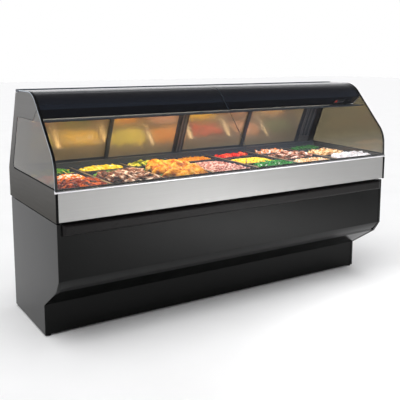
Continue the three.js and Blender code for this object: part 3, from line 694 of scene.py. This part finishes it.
# for each dish: the bed's food, the crown's level from the pan's rim in mm, and the items laid over it
DISHES = {
    "wings": ("bed_brown", -3, [item("joint", "chilli", 58, 32, 0.5), item("grain", "orange", 11, 52, 1.0)]),
    "orange_rice": ("bed_brown", -2, [
        item("lump", "orange", 30, 25, 1.0), item("lump", "white", 27, 32, 1.0),
        item("grain", "orange", 14, 26, 1.0),
    ]),
    "squash_broccoli": ("bed_green", -4, [
        item("slice", "squash", 36, 28, 0.5), item("crag", "broccoli", 34, 32, 1.0),
        item("crag", "dark_bean", 30, 44, 1.0),
    ]),
    "yellow_rings": ("yellow", 0, [
        item("lump", "yellow", 26, 19, 0.8), item("slice", "white", 34, 50, 0.3, (0.0, 0.6)),
        item("dome", "tomato", 14, 60, 0.3, (-0.2, 0.6)),
    ]),
    "sliced_roast": ("bed_brown", -6, [
        item("slice", "sliced", 70, 33, 0.5, (-1, 0.5)), item("slice", "gravy", 60, 34, 0.5, (-1, 0.5)),
        item("grain", "orange", 13, 40, 1.0, (-0.4, 0.5)), item("flake", "herb", 15, 40, 1.0, (-0.5, 0.9)),
        item("crag", "broccoli", 28, 26, 1.0, (0.6, 0.95)), item("lump", "tomato", 22, 44, 1.0, (0.5, 0.85)),
        item("lump", "white", 26, 50, 1.0, (-0.2, 0.6)),
    ]),
    "squash_slices": ("bed_green", -2, [
        item("slice", "squash", 42, 24, 0.6), item("lump", "broccoli", 24, 40, 1.0),
        item("grain", "orange", 12, 60, 1.0),
    ]),
    "roast_chicken": ("bed_brown", 0, [
        item("joint", "golden", 84, 42, 0.4), item("lump", "golden", 46, 46, 0.8),
        item("crag", "herb", 24, 46, 1.0), item("lump", "gravy", 16, 70, 1.0),
    ]),
    "carrots": ("carrot", -2, [item("shred", "carrot", 40, 11, 0.5), item("flake", "yellow", 15, 30, 1.0)]),
    "ham_mix": ("bed_brown", -6, [
        item("dice", "ham", 20, 16, 1.2), item("dice", "white", 15, 28, 1.2),
        item("flake", "herb", 17, 24, 1.0), item("grain", "orange", 14, 36, 1.0),
    ]),
    "tomatoes": ("bed_brown", -8, [item("dome", "tomato", 44, 36, 0.6), item("flake", "white", 16, 52, 1.0)]),
    "corn": ("yellow", -6, [
        item("grain", "yellow", 15, 12, 1.0), item("grain", "orange", 14, 30, 1.0),
        item("flake", "white", 14, 34, 1.0),
    ]),
    "green_beans": ("bed_green", -6, [
        item("bean", "bean", 66, 14, 0.5), item("slice", "white", 36, 34, 0.8, (-0.25, 0.35)),
    ]),
    "shrimp": ("bed_brown", -4, [
        item("curl", "shrimp", 46, 24, 0.8), item("grain", "orange", 14, 40, 1.0),
    ]),
    "browned_meat": ("bed_brown", -4, [
        item("slice", "browned", 54, 26, 0.5), item("lump", "browned", 30, 40, 1.0),
    ]),
    "diced_mix": ("bed_brown", -6, [
        item("dice", "nugget", 21, 18, 1.2), item("dice", "white", 19, 30, 1.2),
        item("flake", "herb", 18, 34, 1.0), item("dice", "tomato", 16, 44, 1.2),
    ]),
    "dark_beans": ("bed_green", -6, [item("bean", "dark_bean", 66, 13, 0.4)]),
    "nuggets": ("bed_brown", -4, [
        item("curl", "nugget", 42, 26, 0.9), item("lump", "nugget", 30, 32, 1.0),
        item("crag", "herb", 20, 40, 1.0),
    ]),
    "dumplings": ("bed_brown", -4, [
        item("crag", "dumpling", 44, 29, 0.8), item("grain", "orange", 9, 52, 1.0),
    ]),
}

# dishes by column, each from the back of the case to the front
MENU = [
    ("squash_broccoli", "orange_rice", "wings"),
    ("yellow_rings", "sliced_roast"),
    ("squash_slices", "roast_chicken"),
    ("carrots", "ham_mix"),
    ("tomatoes", "corn", "green_beans"),
    ("shrimp", "browned_meat", "diced_mix"),
    ("dark_beans", "nuggets", "dumplings"),
]


def rounded_rectangle(half, radius):
    """Points round a rectangle with rounded corners, anticlockwise."""
    per_corner, per_side = 4, 5
    points = []
    for k, (sx, sy) in enumerate(((1, 1), (-1, 1), (-1, -1), (1, -1))):
        centre = Vector((sx * (half.x - radius), sy * (half.y - radius)))
        for i in range(per_corner + 1):
            angle = math.pi / 2 * (k + i / per_corner)
            points.append(centre + radius * Vector((math.cos(angle), math.sin(angle))))
    filled = []
    for i, point in enumerate(points):
        after = points[(i + 1) % len(points)]
        steps = per_side if (after - point).length > radius else 1
        filled += [point.lerp(after, s / steps) for s in range(steps)]
    return filled


def mound(half, floor_level, crown):
    """A function for the food's height over its bay: highest in the middle, falling to its rounded edge."""
    def height(x, y):
        edge = (abs(x / half.x) ** 4 + abs(y / half.y) ** 4) ** 0.25
        return floor_level + (crown - floor_level) * (1 - min(1.0, edge) ** 3)
    return height


def bed_mesh(half, height, foot):
    """The bed under the items: rings of points from the edge to the middle, closed underneath."""
    outline = rounded_rectangle(half, min(half) * 0.5)
    count = len(outline)
    points = [Vector((p.x, p.y, foot)) for p in outline]
    for ring in range(BED_RINGS):
        for p in outline:
            x, y = p * (1 - ring / BED_RINGS)
            ripple = noise.noise(Vector((x, y, 0)) * BED_RIPPLE_FREQUENCY) * BED_RIPPLE if ring else 0
            points.append(Vector((x, y, height(x, y) + ripple)))
    faces = []
    for start in range(0, BED_RINGS * count, count):
        for i in range(count):
            j = (i + 1) % count
            faces.append([start + i, start + j, start + count + j, start + count + i])
    faces.append([BED_RINGS * count + i for i in range(count)])
    faces.append(list(range(count))[::-1])
    return points, faces


# how items are laid: the part of an item kept inside the bay's edge, its shift as a part of the spacing,
# how far into the bay's corners items go, their range of sizes, and their greatest lift as a part of the size
KEPT_INSIDE = 0.4
SHIFT = 0.45
CORNER_LIMIT = 1.15
SIZE_RANGE = (0.8, 1.15)
GREATEST_LIFT = 0.25


def item_places(half, height, rng, size, spacing, tilt, zone):
    """Jittered places over the bay, each a matrix that turns, tilts and scales one item."""
    reach = half - Vector((1, 1)) * size * KEPT_INSIDE
    columns = max(1, round(2 * reach.x / spacing))
    rows = max(1, round(reach.y * (zone[1] - zone[0]) / spacing))
    for row in range(rows + 1):
        for column in range(columns + 1):
            across = 2 * (column + rng.uniform(-SHIFT, SHIFT)) / columns - 1
            along = zone[0] + (zone[1] - zone[0]) * (row + rng.uniform(-SHIFT, SHIFT)) / rows
            if abs(across) ** 4 + abs(along) ** 4 > CORNER_LIMIT:
                continue
            x = reach.x * max(-1, min(1, across))
            y = reach.y * max(-1, min(1, along))
            scale = size * rng.uniform(*SIZE_RANGE)
            turn = Euler((rng.uniform(-tilt, tilt), rng.uniform(-tilt, tilt), rng.uniform(0, 2 * math.pi)))
            lift = scale * rng.uniform(0.0, GREATEST_LIFT)
            place = Matrix.Translation((x, y, height(x, y) + lift))
            yield place @ turn.to_matrix().to_4x4() @ Matrix.Scale(scale, 4)


def build_dish(name, dish, low, high, rim, body):
    """Food in one bay: a mounded bed, mostly dark to paint the shade in the gaps between the items, with many
    separate items laid over it.
    """
    bed_food, crown, items = DISHES[dish]
    rng = random.Random(f"{SEED}{name}")
    middle = (Vector(low) + Vector(high)) / 2
    half = (Vector(high) - Vector(low)) / 2
    height = mound(half, rim - FOOD_EDGE_DEPTH, rim + crown * MM)
    foods = [bed_food] + sorted({food for _, food, *_ in items} - {bed_food})
    points, faces = bed_mesh(half, height, rim - FOOD_EDGE_DEPTH - BED_THICKNESS)
    kinds = [0] * len(faces)
    for shape, food, size, spacing, tilt, zone in items:
        template, sides = SHAPES[shape]
        for matrix in item_places(half, height, rng, size, spacing, tilt, zone):
            start = len(points)
            points += [matrix @ v for v in template]
            faces += [[start + i for i in face] for face in sides]
            kinds += [foods.index(food)] * len(sides)

    mesh = bpy.data.meshes.new(name)
    mesh.from_pydata([(p.x + middle.x, p.y + middle.y, p.z) for p in points], [], faces)
    mesh.polygons.foreach_set("material_index", kinds)
    for food in foods:
        mesh.materials.append(FOOD[food])
    mesh.shade_smooth()
    piece = bpy.data.objects.new(name, mesh)
    bpy.context.scene.collection.objects.link(piece)
    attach(piece, body)


def build_food():
    """The dishes, one in each bay: two bays in a divided pan, one in any other."""
    inset = PAN_LIP + FOOD_CLEARANCE
    for column, dishes in enumerate(MENU, start=1):
        rear, *front = dishes
        for row, row_dishes in (("rear", [rear]), ("front", front)):
            pan = f"pan_{row}_{column}"
            low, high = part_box(pan)
            y_low, y_high = low.y + inset, high.y - inset
            bays = [(y_low, y_high)]
            if len(row_dishes) == 2:
                middle = (y_low + y_high) / 2
                gap = DIVIDER / 2 + FOOD_CLEARANCE
                bays = [(middle + gap, y_high), (y_low, middle - gap)]
            for i, (dish, (near, far)) in enumerate(zip(row_dishes, bays), start=1):
                name = f"food_{row}_{column}_{i}"
                build_dish(name, dish, (low.x + inset, near), (high.x - inset, far), high.z, pan)


# ---------------------------------------------------------------- studio

CAMERA_PLACE = (-2.2965, -3.5505, 1.5749)
CAMERA_YAW = -0.559
CAMERA_PITCH = 0.1479
CAMERA_LENS = 57.46
CAMERA_SHIFT = -0.115
FLOOR_REACH = 40.0

SUN_STRENGTH = 3.0
SUN_ANGLE = 70
SUN_TURN = (12, -10, 0)

# the display lights: each one's place along the case and its colour
DISPLAY_LIGHTS = {"left": (-0.6, (1.0, 0.84, 0.60)), "right": (0.6, (0.96, 0.95, 1.0))}
DISPLAY_LIGHT_SIZE = (1.15, 0.10)
DISPLAY_LIGHT_POWER = 5.0
DECK_LEVEL = 0.88

# the light that whitens the floor in front of the case
POOL_PLACE = (1.1, -2.3, 2.4)
POOL_TARGET = (1.1, -2.3, 0)
POOL_SIZE = (0.8, 0.8)
POOL_POWER = 42.0
POOL_SPREAD = 80


def area_light(name, place, target, size, power, colour=(1, 1, 1), spread=180):
    """A rectangular light at a place, turned to a target."""
    lamp = bpy.data.lights.new(name, "AREA")
    lamp.shape = "RECTANGLE"
    lamp.size, lamp.size_y = size
    lamp.energy = power
    lamp.color = colour
    lamp.spread = math.radians(spread)
    holder = bpy.data.objects.new(name, lamp)
    bpy.context.scene.collection.objects.link(holder)
    holder.location = place
    holder.rotation_euler = (Vector(target) - Vector(place)).to_track_quat("-Z", "Y").to_euler()
    return holder


def hide_shape(light):
    """Keep a light's own shape out of reflections and of what shows through glass."""
    light.visible_glossy = False
    light.visible_transmission = False


def build_world():
    """White behind the object; for light and reflections, bright at the horizon and darker overhead."""
    world = bpy.data.worlds.new("studio_world")
    world.use_nodes = True
    nodes, links = world.node_tree.nodes, world.node_tree.links
    background = nodes["Background"]
    direction = nodes.new("ShaderNodeTexCoord")
    parts = nodes.new("ShaderNodeSeparateXYZ")
    links.new(direction.outputs["Generated"], parts.inputs[0])
    greys = [(0.85, 0.85, 0.86), (0.45, 0.45, 0.46), (0.10, 0.10, 0.11)]
    sky = colour_ramp(nodes, links, parts.outputs["Z"], greys, 0.0, 0.7)
    path = nodes.new("ShaderNodeLightPath")
    mix = nodes.new("ShaderNodeMix")
    mix.data_type = "RGBA"
    links.new(path.outputs["Is Camera Ray"], mix.inputs["Factor"])
    links.new(sky, mix.inputs["A"])
    mix.inputs["B"].default_value = (1, 1, 1, 1)
    links.new(mix.outputs["Result"], background.inputs["Color"])
    bpy.context.scene.world = world


def build_floor():
    floor_material = surface("studio_floor", [(0.88, 0.88, 0.88), (0.90, 0.90, 0.90)], (0.7, 0.75), 2.0)
    mesh = bpy.data.meshes.new("studio_floor")
    corners = [(-1, -1), (1, -1), (1, 1), (-1, 1)]
    mesh.from_pydata([(x * FLOOR_REACH, y * FLOOR_REACH, 0) for x, y in corners], [], [(0, 1, 2, 3)])
    mesh.materials.append(floor_material)
    floor = bpy.data.objects.new("studio_floor", mesh)
    bpy.context.scene.collection.objects.link(floor)


def build_lights():
    """A soft overhead light, two lights under the canopy's shield, and one on the floor in front."""
    sun = bpy.data.lights.new("overhead_softlight", "SUN")
    sun.energy = SUN_STRENGTH
    sun.angle = math.radians(SUN_ANGLE)
    holder = bpy.data.objects.new("overhead_softlight", sun)
    hide_shape(holder)
    holder.rotation_euler = [math.radians(turn) for turn in SUN_TURN]
    bpy.context.scene.collection.objects.link(holder)

    under_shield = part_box("light_shield")[0].z - 10 * MM
    for name, (x, colour) in DISPLAY_LIGHTS.items():
        area_light(
            f"display_light_{name}", (x, 0.02, under_shield), (x, -0.02, DECK_LEVEL),
            DISPLAY_LIGHT_SIZE, DISPLAY_LIGHT_POWER, colour,
        )
    pool = area_light("floor_pool", POOL_PLACE, POOL_TARGET, POOL_SIZE, POOL_POWER, spread=POOL_SPREAD)
    hide_shape(pool)


def build_camera():
    data = bpy.data.cameras.new("studio_camera")
    data.sensor_width = 36
    data.lens = CAMERA_LENS
    data.shift_y = CAMERA_SHIFT
    data.clip_end = 200
    camera = bpy.data.objects.new("studio_camera", data)
    bpy.context.scene.collection.objects.link(camera)
    camera.location = CAMERA_PLACE
    camera.rotation_euler = (math.pi / 2 - CAMERA_PITCH, 0, CAMERA_YAW)
    bpy.context.scene.camera = camera


build_camera()
build_floor()
build_world()
build_lights()
refine_all()
for side, sign in SIDES.items():
    build_front_glass(side, sign)
    build_end_trim(side, sign)
build_glass_gasket()
build_post_ribs()
build_divider_caps()
build_display_marks()
build_food()
